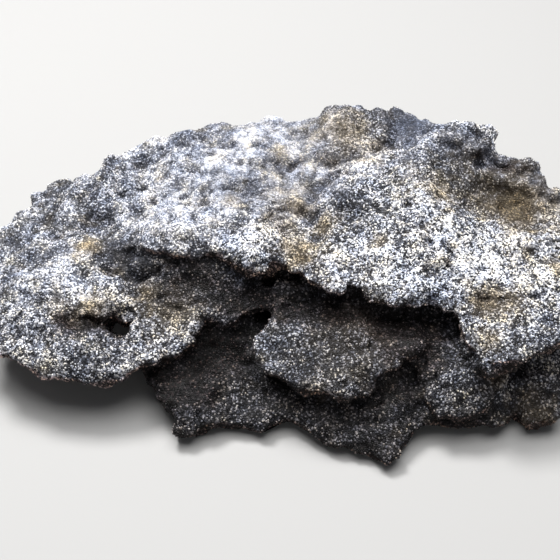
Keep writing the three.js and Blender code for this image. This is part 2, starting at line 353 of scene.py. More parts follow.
def layOutMap(piece):
    # done while the skin is still smooth, so that the map has few and large islands
    bpy.ops.object.select_all(action="DESELECT")
    piece.select_set(True)
    bpy.context.view_layer.objects.active = piece
    piece.data.uv_layers.new(name="OFBake")
    bpy.ops.object.mode_set(mode="EDIT")
    bpy.ops.mesh.select_all(action="SELECT")
    bpy.ops.uv.smart_project(
        angle_limit=crustLook["mapAngle"], island_margin=crustLook["mapMargin"]
    )
    bpy.ops.object.mode_set(mode="OBJECT")


def roughen(mesh, ends):
    look = crustLook
    places, normals = readPoints(mesh), readNormals(mesh)
    flatUnder = places[:, 2] < look["flatBelow"]
    # how far each point stands out of the skin around it, which finds the thin rims
    bulge = ((places - spreadOut(places, ends, look["rimTurns"])) * normals).sum(1)
    rim = spreadOut(fade(bulge, 0, look["rimBulge"]), ends, 2)
    height = look["swellHeight"] * wander(places, look["swellSize"], 2, "swells")
    clumps = cauliflower(places, look["clumpSize"], "clumps") - look["bumpLevel"]
    crest = hump(distanceToPath(places, crestLine), look["crestReach"])
    height += look["clumpHeight"] * clumps * (1 + look["crestGain"] * crest)
    crumbs = cauliflower(places, look["crumbSize"], "crumbs") - look["bumpLevel"]
    height += look["crumbHeight"] * crumbs
    height *= 1 + look["rimGain"] * rim
    height += look["raggedHeight"] * rim * wander(places, look["raggedSize"], 2, "rims")
    facing = spreadOut(normals, ends, 4)
    walls = contrast(-np.abs(facing[:, 2]), *look["wallContrast"])
    height += look["wallHeight"] * walls * wander(places, look["wallSize"], 2, "walls")
    pits = wander(places, look["pitSize"], 1, "pits")
    height -= look["pitDepth"] * fade(pits, *look["pitRamp"])
    for *at, width, rise in knobs:
        height += rise * hump(np.linalg.norm(places - np.array(at), axis=1), width)
    for path, width, rise in creases:
        height += rise * hump(distanceToPath(places, path), width)
    height = spreadOut(height, ends, 1)
    moved = places + normals * height[:, None]
    moved[flatUnder, 2] = 0
    moved[:, 2] = np.clip(moved[:, 2], 0, look["topLimit"])
    writePoints(mesh, moved)
    for polygon in mesh.polygons:
        polygon.use_smooth = True


def makeCrust():
    look = crustLook
    crust = makeObject("meltedSandCrust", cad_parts["fulgurite"].data.copy())
    bm = bmesh.new()
    bm.from_mesh(crust.data)
    bmesh.ops.remove_doubles(bm, verts=bm.verts, dist=look["mergeWithin"] * mm)
    for lump in lumps:
        at, radii = Vector(lump[:3]), Vector(lump[3:])
        place = Matrix.LocRotScale(at * mm, None, radii * mm)
        bmesh.ops.create_icosphere(bm, subdivisions=3, radius=1, matrix=place)
    bm.to_mesh(crust.data)
    bm.free()
    skin = crust.modifiers.new("skin", "REMESH")
    skin.mode = "VOXEL"
    skin.voxel_size = look["skinStep"] * mm
    soft = crust.modifiers.new("soft", "SMOOTH")
    soft.factor = look["softness"]
    soft.iterations = look["softTurns"]
    applyModifiers(crust)
    layOutMap(crust)
    print("crust skin:", len(crust.data.polygons), "faces")
    ends = neighbours(crust.data)
    roughen(crust.data, ends)
    return crust, ends


crust, crustEdges = makeCrust()
print("crust shaped")

# ---- where the colours, the painted shade and the painted light lie ----
# stains are (x, y, z, reach, strength) and bands are (path, reach, strength), in millimetres
# sand stained by iron
ochreStains = [
    (0.5, 9.1, 17.9, 2.6, 0.4),
    (0.5, 3.5, 17.0, 2.6, 0.5),
    (5.2, 1.6, 16.9, 1.8, 0.6),
    (2.0, -1.5, 16.4, 2.4, 0.8),
    (2.4, -3.4, 16.0, 1.7, 0.8),
    (0.6, -1.4, 15.0, 1.6, 0.5),
    (-26.1, 1.6, 13.9, 1.5, 0.9),
    (-6.8, 5.3, 18.8, 1.2, 0.5),
    (8.5, 19.0, 19.3, 4.4, 0.65),
    (13.0, 18.6, 18.4, 2.2, 0.6),
    (20.8, 7.0, 19.0, 2.8, 0.6),
    (12.3, -2.3, 18.4, 0.9, 0.6),
    (30.6, 3.0, 15.8, 2.6, 0.5),
    (31.4, 9.0, 14.8, 4.4, 1.0),
    (27.5, 9.5, 17.0, 3.4, 0.7),
    (25.0, 13.5, 18.6, 2.2, 0.35),
    (-18.0, -5.1, 11.5, 1.5, 0.7),
    (-14.3, -7.6, 10.6, 3.0, 0.45),
    (-27.1, -8.1, 9.4, 1.0, 0.6),
    (-29.1, -7.0, 11.1, 1.4, 0.4),
    (-25.0, -7.2, 10.7, 1.8, 0.6),
    (-17.6, -7.4, 10.6, 1.4, 0.5),
    (35.0, -3.6, 15.1, 1.1, 0.7),
    (36.0, 4.0, 15.0, 2.5, 0.4),
    (10.0, -11.0, 11.4, 5.5, 0.3),
    (26.0, -15.2, 13.1, 1.4, 0.6),
    (26.0, -9.6, 13.6, 2.2, 0.9),
    (1.4, 6.4, 16.2, 2.0, 0.6),
    (-0.4, 16.0, 18.4, 1.6, 0.4),
    (34.6, 5.6, 14.4, 2.0, 0.3),
    (28.8, -9.4, 13.9, 1.6, 0.7),
    (31.9, -19.0, 3.6, 2.4, 0.5),
    (27.0, -17.0, 8.0, 1.4, 0.6),
]
# dark patches, partly darker sand and partly painted shade, as in the cave under the ledge and on
# the middle shelf
darkSandAndShadeSpots = [
    (9.0, 4.4, 18.4, 2.8, 0.9),
    (9.6, 2.6, 18.6, 2.2, 0.7),
    (5.4, 9.0, 16.8, 2.4, 0.5),
    (7.6, 0.6, 17.5, 1.8, 0.5),
    (24.9, 9.8, 17.3, 2.2, 0.5),
    (21.9, 7.6, 18.5, 0.8, 0.8),
    (35.3, -2.9, 15.0, 1.2, 0.6),
    (32.4, 12.6, 16.8, 2.0, 0.7),
    (29.8, 10.2, 14.8, 2.6, 0.7),
    (10.5, 1.3, 18.5, 1.6, 0.4),
    (23.6, 2.2, 18.4, 1.9, 0.5),
    (15.3, -3.6, 18.6, 1.0, 0.5),
    (18.7, -6.5, 16.8, 1.7, 0.5),
    (17.7, 12.9, 19.8, 3.0, 0.55),
    (16.2, 3.5, 19.8, 0.6, 0.9),
    (26.0, 11.5, 17.8, 3.4, 0.6),
    (30.2, 9.6, 16.2, 3.2, 0.8),
    (32.5, 7.4, 15.0, 2.6, 0.6),
    (20.8, 12.8, 19.4, 3.2, 0.9),
    (23.4, 12.6, 18.6, 2.0, 0.7),
    (27.4, -9.2, 13.7, 1.9, 1.0),
    (26.2, -11.2, 13.6, 1.4, 0.8),
    (33.0, -9.8, 14.0, 1.6, 0.7),
    (-20.6, 11.0, 14.8, 0.8, 0.3),
    (-34.6, -14.0, 8.2, 1.4, 0.6),
    (8.6, -13.0, 11.0, 2.4, 0.6),
    (-26.4, -15.3, 8.0, 2.2, 0.7),
    (25.2, -8.4, 13.4, 1.8, 0.9),
    (22.5, -9.8, 14.7, 1.0, 0.6),
    (21.1, -13.0, 8.9, 1.8, 0.9),
    (-4.6, 4.4, 18.2, 1.8, 0.5),
    (-9.8, 4.4, 18.2, 1.4, 0.5),
    (-36.0, 5.6, 11.4, 2.4, 0.7),
    (-30.6, 7.4, 12.6, 2.0, 0.5),
    (20.0, 15.0, 19.3, 2.4, 0.8),
    (19.2, 8.4, 19.4, 1.8, 0.7),
    (7.6, 23.8, 20.3, 2.6, 0.9),
    (26.8, -13.6, 13.2, 1.2, 0.6),
    (32.6, -15.6, 12.5, 1.8, 0.9),
    (-36.8, 2.0, 10.4, 2.6, 0.6),
    (5.4, 23.8, 19.8, 2.6, 0.9),
    (11.6, 24.2, 19.6, 2.6, 0.7),
    (-36.8, -6.6, 9.4, 2.2, 0.5),
    (25.6, -15.6, 13.0, 1.8, 0.8),
    (-25.1, 8.4, 12.8, 2.4, 0.65),
    (-28.4, 7.7, 13.0, 1.6, 0.35),
    (-26.3, 12.7, 13.9, 1.3, 0.4),
    (-24.3, 16.4, 15.7, 1.6, 0.8),
    (-20.4, 8.7, 14.3, 1.1, 0.6),
    (-20.0, 17.3, 16.0, 1.8, 0.35),
    (-13.1, 20.0, 18.0, 1.4, 0.95),
    (-11.0, 8.6, 17.7, 1.4, 0.5),
    (-15.8, 4.7, 16.6, 1.6, 0.3),
    (-12.0, 2.9, 18.0, 1.3, 0.3),
    (-5.2, 8.6, 17.3, 2.8, 1.0),
    (-2.6, 9.4, 17.0, 1.8, 0.6),
    (-5.8, 2.0, 17.9, 1.2, 0.25),
    (-2.3, 2.8, 17.6, 1.2, 0.2),
    (-2.9, 14.3, 18.8, 1.0, 0.85),
    (1.0, 5.9, 17.6, 1.2, 0.6),
    (4.9, 15.8, 18.9, 1.5, 0.6),
    (8.5, 19.0, 19.0, 4.4, 0.6),
    (-34.2, -8.7, 10.9, 0.6, 0.9),
    (-22.4, 1.2, 12.6, 2.4, 0.9),
    (-19.4, 0.4, 12.6, 2.6, 0.9),
    (-15.0, -5.6, 11.2, 1.8, 0.5),
    (27.0, -16.8, 8.4, 1.4, 0.4),
    (32.5, -15.6, 7.0, 3.0, 0.4),
    (26.8, -19.0, 6.0, 1.8, 0.5),
    (13.6, -18.0, 5.6, 2.2, 0.5),
    (29.4, -12.9, 13.3, 0.6, 0.8),
    (21.2, -10.0, 14.5, 1.3, 0.8),
    (34.0, -10.8, 13.4, 1.6, 0.6),
    (33.3, -12.4, 12.9, 1.0, 0.6),
    (29.6, -12.5, 13.1, 0.7, 0.7),
    (30.7, -15.6, 12.8, 1.4, 0.7),
    (-25.6, -9.8, 9.8, 1.6, 0.8),
    (-22.4, -9.8, 9.6, 1.6, 0.6),
    (-25.4, -14.4, 9.8, 1.5, 0.6),
    (-17.8, -12.0, 8.9, 0.6, 0.7),
    (-13.1, 12.6, 18.2, 1.8, 0.4),
    (18.7, 20.6, 18.4, 3.0, 0.6),
    (21.0, 21.4, 18.8, 2.2, 0.5),
    (27.4, -11.2, 13.8, 1.2, 0.7),
    (30.8, -14.2, 13.2, 0.8, 0.6),
    (12.1, -0.2, 19.1, 1.6, 0.5),
    (4.9, -2.4, 16.2, 1.6, 0.4),
    (19.9, 5.0, 19.6, 1.8, 0.4),
    (20.6, 11.0, 19.1, 2.6, 0.6),
    (25.6, 20.4, 19.4, 1.8, 0.5),
    (-35.4, 12.6, 10.8, 2.4, 0.5),
    (-23.6, -12.4, 10.4, 1.6, 0.4),
    (-20.6, -11.4, 9.6, 1.5, 0.5),
    (-27.8, -7.6, 10.6, 1.4, 0.4),
    (-27.0, 5.0, 13.4, 1.6, 0.3),
    (9.0, 22.6, 20.4, 2.6, 0.7),
    (13.3, 24.0, 19.1, 2.4, 0.8),
    (5.0, 22.6, 19.4, 2.0, 0.6),
    (1.3, 23.0, 18.6, 1.6, 0.4),
]
# dark bands, partly darker sand, as along the crest and in the brown hollow, and partly painted
# shade, as along the foot of the ledge, under the rims and in the slit
darkSandAndShadeBands = [
    (crestLine, 3.0, 0.65),
    ([(10.6, -9.0, 14.6), (12.8, -9.8, 14.7), (14.6, -10.2, 14.8), (16.6, -9.9, 14.6),
      (19.0, -9.5, 13.9)], 1.4, 0.9),
    ([(24.6, -9.9, 13.6), (26.6, -9.9, 13.6), (29.2, -9.6, 13.8)], 2.0, 1.0),
    ([(0.4, -7.4, 11.2), (4.8, -7.8, 11.4), (8.6, -8.2, 11.8), (14.0, -9.4, 11.4),
      (20.0, -10.0, 10.4)], 2.6, 0.8),
    ([(15.6, -12.4, 10.2), (19.0, -12.2, 9.6), (19.2, -14.6, 8.6),
      (22.4, -16.6, 8.6)], 2.2, 0.8),
    ([(-13.8, -3.2, 12.5), (-11.0, -3.8, 11.9), (-9.0, -4.6, 11.7),
      (-5.0, -6.0, 11.0)], 2.0, 0.7),
    ([(-28.4, -7.4, 10.8), (-26.0, -7.4, 11.2), (-23.0, -7.0, 11.4)], 0.8, 0.5),
    ([(26.4, 18.0, 20.0), (28.6, 16.2, 18.8), (31.4, 14.4, 17.8),
      (35.0, 11.4, 16.6)], 1.6, 1.0),
    ([(25.6, 11.2, 17.8), (29.6, 9.0, 16.2), (33.6, 6.8, 14.8)], 4.2, 1.0),
    ([(23.2, -16.6, 10.6), (25.0, -18.4, 10.6), (28.4, -18.0, 11.2),
      (33.0, -15.4, 11.4)], 1.4, 0.7),
    ([(14.6, 23.4, 18.4), (17.9, 21.6, 18.5), (21.0, 20.6, 19.4)], 3.0, 0.9),
    ([(8.0, 12.6, 18.3), (5.0, 9.6, 17.2), (4.2, 5.6, 17.0), (4.6, 2.2, 16.8)], 1.9, 0.45),
    ([(15.0, -13.4, 7.0), (16.6, -12.2, 9.6), (20.0, -11.0, 9.6)], 2.4, 0.6),
    ([(-10.5, -9.8, 7.0), (-7.5, -8.0, 7.2), (-4.0, -6.0, 8.0)], 3.4, 0.9),
    ([(-15.5, -0.4, 13.0), (-11.6, -1.6, 13.6), (-8.0, -3.0, 13.0),
      (-4.0, -4.0, 12.0)], 1.8, 0.6),
    ([(-36.5, -10.5, 8.0), (-31.5, -14.5, 8.0), (-26.9, -15.4, 8.4), (-21.0, -14.6, 7.6),
      (-17.0, -13.4, 7.6)], 1.2, 0.35),
    ([(28.8, -15.2, 12.8), (31.3, -15.6, 12.5), (34.5, -13.6, 12.8)], 1.4, 0.9),
    ([(-25.4, -7.8, 9.6), (-23.8, -8.4, 9.3), (-22.4, -8.8, 9.4)], 0.8, 0.9),
]
# painted shade, near black and tinted warm brown, in places so deep that little light comes back
deepShadeBands = [
    ([(-25.0, -8.6, 9.2), (-23.4, -8.2, 9.0), (-22.0, -8.0, 8.6)], 0.8, 1.0),
    ([(-28.4, -9.2, 10.2), (-26.4, -9.6, 9.9), (-24.6, -9.8, 9.8)], 1.4, 0.9),
    ([(-25.2, -9.4, 9.9), (-23.2, -10.0, 10.0), (-22.4, -10.4, 10.0)], 1.4, 1.0),
    ([(26.2, 15.4, 18.8), (27.4, 14.4, 18.4), (29.4, 13.8, 17.9),
      (32.2, 13.2, 17.3)], 0.7, 1.0),
    ([(-14.0, -15.6, 5.1), (-14.6, -17.7, 4.5)], 1.8, 1.0),
    ([(-11.5, -9.5, 6.3), (-7.0, -9.8, 6.6), (-5.8, -10.9, 5.8), (-9.0, -11.3, 5.3),
      (-12.0, -11.6, 5.3)], 1.9, 1.0),
    ([(-17.4, -13.6, 5.1), (-14.1, -14.3, 5.2), (-11.2, -14.4, 5.5), (-8.8, -13.4, 5.4),
      (-8.6, -11.9, 5.2)], 1.9, 0.9),
    ([(-15.0, -16.8, 4.6), (-12.0, -16.8, 4.9), (-9.8, -17.2, 4.9)], 2.0, 0.9),
    (shelfBack, 1.9, 0.85),
    ([(12.4, -11.4, 10.4), (15.5, -12.4, 10.5), (18.4, -12.6, 9.8),
      (18.1, -14.8, 8.6)], 2.0, 0.8),
    ([(13.4, -14.6, 10.2), (15.6, -14.6, 10.4), (17.6, -14.2, 9.6)], 1.5, 0.7),
    ([(-14.4, -2.2, 13.4), (-12.0, -1.9, 13.6), (-10.4, -2.6, 13.6),
      (-8.4, -4.0, 12.6)], 1.2, 0.6),
    ([(-14.6, -3.9, 12.4), (-12.5, -3.3, 12.1), (-10.4, -3.6, 12.3),
      (-7.6, -4.4, 12.0)], 1.3, 0.6),
    ([(-14.6, -5.4, 11.5), (-12.2, -5.3, 11.3)], 1.2, 0.3),
    ([(-7.2, -5.4, 11.3), (-5.1, -5.0, 11.1), (-3.2, -4.6, 11.0),
      (-1.2, -5.4, 10.9)], 1.7, 0.7),
    ([(-28.6, -10.7, 10.3), (-26.4, -10.9, 10.3), (-23.2, -11.2, 10.9)], 1.1, 0.5),
    ([(13.0, -17.4, 5.9), (15.4, -17.6, 5.9)], 1.8, 0.6),
    ([(-17.0, -15.4, 4.6), (-15.6, -17.6, 3.6), (-13.4, -18.4, 3.4)], 1.6, 0.5),
    ([(31.0, -16.4, 8.6), (33.4, -15.8, 8.4)], 1.2, 0.3),
]
# the lower shelves are painted darker and greyer than the top, partly as darker sand and partly
# as painted shade from the ledges above: levels are (from x, to x, top, strength)
dimSandAndShadeLevels = [
    (-20.0, 29.0, 9.4, 1.0),
    (-3.0, 22.5, 13.6, 0.68),
    (21.0, 60.0, 11.6, 0.78),
]
# spots painted darker and greyer: partly darker sand, as on parts of the top, and partly painted
# shade, as under the ledges
dimSandAndShadeSpots = [
    (-14.5, -4.0, 11.0, 4.6, 0.9),
    (-19.0, -2.0, 11.0, 3.5, 0.8),
    (-9.5, -5.0, 10.6, 3.8, 0.9),
    (-17.5, -9.5, 8.5, 2.6, 0.4),
    (-3.0, -6.0, 10.6, 3.0, 0.9),
    (1.0, -6.0, 11.0, 4.0, 0.9),
    (-11.5, -2.6, 12.6, 3.0, 0.9),
    (-30.0, 12.5, 12.4, 8.0, 0.16),
    (-21.0, 12.0, 14.6, 5.0, 0.12),
    (2.0, 9.0, 17.6, 4.0, 0.16),
    (-6.0, 7.6, 18.0, 5.5, 0.1),
    (16.6, 24.2, 18.5, 3.6, 0.4),
    (22.0, 13.6, 19.0, 3.0, 0.2),
    (8.0, 6.0, 18.4, 4.0, 0.16),
    (-21.4, 0.3, 12.6, 2.6, 0.9),
    (-13.0, -1.0, 12.5, 3.6, 0.7),
    (-24.0, -14.0, 8.4, 5.0, 0.18),
    (-33.0, -4.0, 10.6, 8.0, 0.06),
    (14.0, 6.0, 19.4, 6.0, 0.06),
]
# clean bright sand, and painted light on the front slopes of the ledge and on places the lamps
# leave darker
paleSandAndLightSpots = [
    (24.4, 22.4, 19.2, 2.0, 1.0),
    (20.1, 17.2, 19.2, 1.6, 0.8),
    (12.5, 15.4, 18.8, 1.8, 0.6),
    (0.8, 15.7, 18.2, 2.4, 0.8),
    (-2.5, 12.0, 17.9, 2.2, 0.7),
    (-10.3, 18.2, 17.8, 2.0, 0.6),
    (-17.9, 14.4, 16.5, 2.2, 0.5),
    (-21.6, 11.4, 14.8, 1.4, 0.5),
    (-17.2, 3.4, 16.2, 2.0, 0.6),
    (-13.4, 1.2, 17.4, 3.0, 0.8),
    (-7.6, 3.4, 17.8, 2.4, 0.7),
    (1.3, 9.6, 16.8, 1.4, 0.5),
    (9.4, 12.6, 18.4, 2.4, 1.0),
    (12.8, 17.4, 18.6, 1.6, 0.8),
    (13.4, 6.4, 19.6, 2.8, 0.6),
    (-2.4, 2.8, 16.9, 2.0, 0.6),
    (-5.2, 2.4, 17.2, 1.8, 0.5),
    (1.0, -1.2, 15.2, 1.6, 0.8),
    (7.0, -15.0, 10.2, 3.0, 0.15),
    (2.6, -12.6, 10.6, 2.2, 0.35),
    (-11.2, 6.3, 17.3, 2.2, 0.6),
    (-4.0, -0.6, 17.2, 2.4, 0.6),
    (35.4, 5.8, 14.6, 2.2, 1.0),
    (1.3, 4.0, 15.6, 2.2, 1.0),
    (0.6, 0.0, 15.2, 2.2, 1.0),
    (6.4, -7.0, 15.6, 2.0, 0.7),
    (33.2, -13.0, 6.4, 2.4, 1.0),
    (34.6, -12.0, 6.8, 2.2, 1.0),
    (21.4, -18.8, 6.8, 2.8, 0.8),
    (-8.4, -19.0, 4.8, 2.8, 0.5),
    (-5.0, -16.8, 5.0, 2.6, 0.5),
    (-24.4, -2.8, 11.8, 2.4, 0.8),
    (-6.4, 13.4, 18.2, 2.4, 0.8),
    (-17.6, -12.6, 8.6, 2.4, 0.9),
    (-14.2, -10.6, 9.6, 1.8, 0.9),
    (-29.0, -13.4, 8.6, 1.6, 0.7),
    (-21.3, -6.5, 10.5, 1.2, 0.7),
    (25.6, -17.6, 8.1, 1.6, 0.6),
    (28.4, -16.4, 5.8, 2.0, 0.7),
    (1.3, 8.2, 16.8, 1.6, 0.6),
    (19.8, 0.6, 18.6, 2.4, 0.7),
    (9.2, 13.4, 18.0, 1.8, 0.8),
    (11.8, 16.8, 18.6, 1.8, 0.8),
    (4.0, 6.4, 16.6, 1.6, 0.5),
    (13.1, 19.6, 17.8, 2.2, 0.8),
    (-21.4, 9.8, 14.6, 1.8, 0.6),
    (9.0, -5.0, 16.8, 4.8, 0.65),
    (16.0, -6.6, 17.0, 5.0, 1.0),
    (26.0, -5.0, 16.2, 5.4, 1.0),
    (33.0, -7.0, 15.4, 4.4, 0.9),
    (25.4, -13.6, 13.4, 2.6, 0.6),
    (-30.0, -6.0, 11.0, 5.0, 0.3),
]
# sand that leans to blue
coolStains = [
    (18.0, 22.0, 18.8, 5.0, 1.0),
    (30.0, 13.6, 17.8, 3.6, 1.0),
    (33.8, 11.6, 16.6, 3.0, 0.8),
    (6.0, 11.0, 17.4, 3.0, 0.5),
    (-24.0, 14.5, 15.0, 4.0, 0.5),
    (-13.1, 19.5, 18.0, 2.4, 0.4),
    (-6.0, 4.0, 18.2, 3.0, 0.4),
    (14.0, -9.0, 15.0, 3.0, 1.0),
    (19.0, -9.0, 14.8, 2.6, 0.9),
    (9.0, -7.4, 15.0, 2.0, 0.6),
    (12.0, 7.0, 19.0, 3.0, 0.4),
]
# patches of the ash film away from the large one at the back left
filmStains = [
    (18.0, 22.4, 18.8, 4.4, 0.8),
    (12.0, 14.4, 19.0, 2.4, 0.5),
    (16.6, 13.4, 19.8, 2.0, 0.5),
]

# sizes and depths in millimetres, ramps as (start, length), contrasts as (gain, cut)
paintLook = {
    "stainSpread": 1.15,
    "edgeSize": 1.6,
    "edgeDepth": 0.55,
    "duskyEdge": 0.4,
    "patchSize": 2.6,
    "patchContrast": (2.2, 0.75),
    "patchOchre": 0.3,
    "patchTilt": 0.2,
    "cloudSize": 4.2,
    "darkCloudContrast": (2.4, 0.1),
    "darkClouds": 0.6,
    "paleCloudContrast": (1.6, 0),
    "paleClouds": 0.5,
    "speckSize": 0.95,
    "speckContrast": (2.4, 0.35),
    "darkSpecks": 0.4,
    # how deep hollows and crevices must be for painted shade, and how strong that shade is
    "hollowTurns": 60,
    "hollowDepth": 0.8,
    "hollowShade": 0.5,
    "creviceTurns": 7,
    "creviceDepth": 0.12,
    "creviceShade": 0.5,
    "crestCreviceShade": 0.6,
    # ridges are painted paler: partly pale sand, partly a painted highlight
    "paleRidgesAndHighlight": 0.25,
    "paleOverDark": 0.7,
    "paleOverDusky": 0.5,
    "warmthSize": 2.2,
    "warmthMiddle": 0.52,
    "warmthSwing": 0.45,
    "ochreWarms": 0.4,
    "coolCools": 0.35,
    "levelFade": 1.6,
    "levelEnds": 2.5,
    # surfaces that face down get painted shade with a painted red-brown bounce of light, less of
    # it on the lip of the ledge
    "underRamp": (-0.22, 0.35),
    "lipReach": 1.7,
    "lipOverUnder": 0.9,
    # the film of ash ends at a slanting front and thins out to the right and to the left
    "filmSlant": 0.35,
    "filmTurn": 8,
    "filmFront": (3, 8),
    "filmRight": (-14, 10, 0.25),
    "filmLeft": (-34, 26, 0.4),
    "darkOverFilm": 0.4,
    "crestFilm": 0.6,
    # rays that look for cover, whose share is painted on as shade: how far, from how high above
    # the skin, how many and how slanting
    "coverReach": 7.0,
    "coverStart": 0.25,
    "coverRays": 5,
    "coverLean": 0.75,
    "coverDroop": 0.45,
    "coverGain": 1.25,
}
# painted shade along the lip of the ledge
lipShade = [(ledgeLip, 1.2, 0.5)]
maskNames = ("ochre", "dark", "pale", "warmth", "sheltered", "lower", "deep", "under", "film")


def coverFromSky(mesh, places, normals):
    # share of directions above each point that other parts of the crust close off
    look = paintLook
    tree = BVHTree.FromPolygons(
        [Vector(p) for p in places], [tuple(face.vertices) for face in mesh.polygons]
    )
    count = look["coverRays"]
    tilts = [(0, 0)] + [(look["coverLean"], math.tau * k / count) for k in range(count)]
    closed = np.zeros(len(places))
    for index, (place, normal) in enumerate(zip(places, normals)):
        up = Vector(normal)
        side = up.orthogonal().normalized()
        other = up.cross(side)
        start = Vector(place) + up * look["coverStart"]
        for lean, turn in tilts:
            sideways = side * math.cos(turn) + other * math.sin(turn)
            ray = up * (1 - lean * look["coverDroop"]) + sideways * lean
            if tree.ray_cast(start, ray, look["coverReach"])[0]:
                closed[index] += 1 / len(tilts)
    return closed


def stainMask(places, stains, roughness):
    mask = np.zeros(len(places))
    for *at, reach, strength in stains:
        away = np.linalg.norm(places - np.array(at), axis=1) * (1 + roughness)
        mask = np.maximum(mask, strength * hump(away, reach * paintLook["stainSpread"]))
    return mask


def bandMask(places, bands, roughness):
    mask = np.zeros(len(places))
    for path, reach, strength in bands:
        away = distanceToPath(places, path) * (1 + roughness)
        mask = np.maximum(mask, strength * hump(away, reach))
    return mask


def sunkBelow(places, normals, turns):
    # depth of each point below the skin around it, over more of the skin with more turns; it sets
    # the painted shade in hollows and crevices
    return ((spreadOut(places, crustEdges, turns) - places) * normals).sum(1)


def paintCrust():
    look = paintLook
    mesh = crust.data
    places, normals = readPoints(mesh), readNormals(mesh)
    x, y, z = places.T
    ragged = look["edgeDepth"] * wander(places, look["edgeSize"], 3, "stainEdges")
    patches = wander(places, look["patchSize"], 3, "patches")
    clouds = wander(places, look["cloudSize"], 3, "clouds")
    specks = wander(places, look["speckSize"], 2, "specks")
    hollow = sunkBelow(places, normals, look["hollowTurns"])
    crevice = sunkBelow(places, normals, look["creviceTurns"])
    inCrest = hump(distanceToPath(places, crestLine), crustLook["crestReach"])
    paleSandAndLightPlaces = stainMask(places, paleSandAndLightSpots, ragged)
    deepShadeMask = bandMask(places, deepShadeBands, ragged)

    ochre = look["patchOchre"] * contrast(patches, *look["patchContrast"])
    ochre *= normals[:, 2] > look["patchTilt"]
    ochre = np.maximum(ochre, stainMask(places, ochreStains, ragged))

    dark = np.maximum(
        stainMask(places, darkSandAndShadeSpots, ragged), bandMask(places, darkSandAndShadeBands, ragged)
    )
    cloudy = contrast(-clouds, *look["darkCloudContrast"])
    dark = np.maximum(dark, look["darkClouds"] * cloudy)
    dark += look["darkSpecks"] * contrast(-specks, *look["speckContrast"])
    dark *= 1 - look["paleOverDark"] * paleSandAndLightPlaces
    # painted shade in hollows and crevices, more of it in the crevices of the crest, then along
    # the lip of the ledge and in the deepest crevices
    shadeInHollows = look["hollowShade"] * fade(hollow, 0, look["hollowDepth"])
    shadeInCrevices = look["creviceShade"] + look["crestCreviceShade"] * inCrest
    dark += shadeInHollows + shadeInCrevices * fade(crevice, 0, look["creviceDepth"])
    dark = np.maximum(dark, bandMask(places, lipShade, ragged))
    dark = np.maximum(dark, deepShadeMask)

    pale = look["paleClouds"] * contrast(clouds, *look["paleCloudContrast"])
    pale = np.maximum(paleSandAndLightPlaces, pale)
    # ridges painted paler: partly pale sand, partly a painted highlight
    pale += look["paleRidgesAndHighlight"] * fade(-crevice, 0, look["creviceDepth"])

    warmth = look["warmthSwing"] * wander(places, look["warmthSize"], 3, "warmth")
    warmth += look["warmthMiddle"]
    warmth += look["ochreWarms"] * ochre
    warmth -= look["coolCools"] * stainMask(places, coolStains, ragged)

    # low shelves painted darker: partly darker sand, partly painted shade
    lower = stainMask(places, dimSandAndShadeSpots, ragged * look["duskyEdge"])
    for fromX, toX, top, strength in dimSandAndShadeLevels:
        level = fade(top - z, 0, look["levelFade"]) * fade(x, fromX, look["levelEnds"])
        level = strength * level * fade(toX - x, 0, look["levelEnds"])
        lower = np.maximum(lower, level)
    lower *= 1 - look["paleOverDusky"] * paleSandAndLightPlaces
    lower = np.maximum(lower, deepShadeMask)

    # painted shade on surfaces that face down, weaker on the lip of the ledge
    facing = spreadOut(normals, crustEdges, 10)
    facing /= np.linalg.norm(facing, axis=1)[:, None]
    under = fade(-facing[:, 2], *look["underRamp"])
    onLip = hump(distanceToPath(places, ledgeLip), look["lipReach"])
    under *= 1 - look["lipOverUnder"] * onLip

    film = fade(y + look["filmSlant"] * (look["filmTurn"] - x), *look["filmFront"])
    film *= fade(-x, *look["filmRight"]) * fade(x, *look["filmLeft"])
    film *= 1 - look["darkOverFilm"] * np.clip(dark, 0, 1)
    film = np.maximum(film, stainMask(places, filmStains, ragged))
    film = np.maximum(film, look["crestFilm"] * inCrest)

    # the share of cover, spread a little, is painted on as shade and also thins out the grains
    closed = spreadOut(coverFromSky(mesh, places, normals), crustEdges, 3)
    masks = (ochre, dark, pale, warmth, closed * look["coverGain"], lower, deepShadeMask, under, film)
    for name, mask in zip(maskNames, masks):
        writeMask(mesh, name, mask)


paintCrust()
print("crust painted")


# ---- shader groups ----
def addNode(tree, kind, **settings):
    node = tree.nodes.new(kind)
    for name, value in settings.items():
        setattr(node, name, value)
    return node


def join(tree, output, target):
    tree.links.new(output, target)


def fillSockets(tree, sockets, values):
    for socket, value in zip(sockets, values):
        if isinstance(value, (int, float)):
            socket.default_value = value
        elif isinstance(value, tuple):
            socket.default_value = (*value, 1)
        else:
            join(tree, value, socket)


def maths(tree, operation, first, second=0.0):
    node = addNode(tree, "ShaderNodeMath", operation=operation)
    fillSockets(tree, node.inputs, (first, second))
    return node.outputs[0]


def mixColours(tree, share, first, second, blend="MIX"):
    node = addNode(tree, "ShaderNodeMix", data_type="RGBA", blend_type=blend)
    factor, base, other = (node.inputs[k] for k in (0, 6, 7))
    fillSockets(tree, (factor, base, other), (share, first, second))
    return node.outputs[2]


def colourRamp(tree, factor, stops):
    ramp = addNode(tree, "ShaderNodeValToRGB")
    band = ramp.color_ramp
    while len(band.elements) < len(stops):
        band.elements.new(0.5)
    for element, (place, colour) in zip(band.elements, stops):
        element.position = place
        element.color = (*colour, 1)
    join(tree, factor, ramp.inputs[0])
    return ramp.outputs[0]


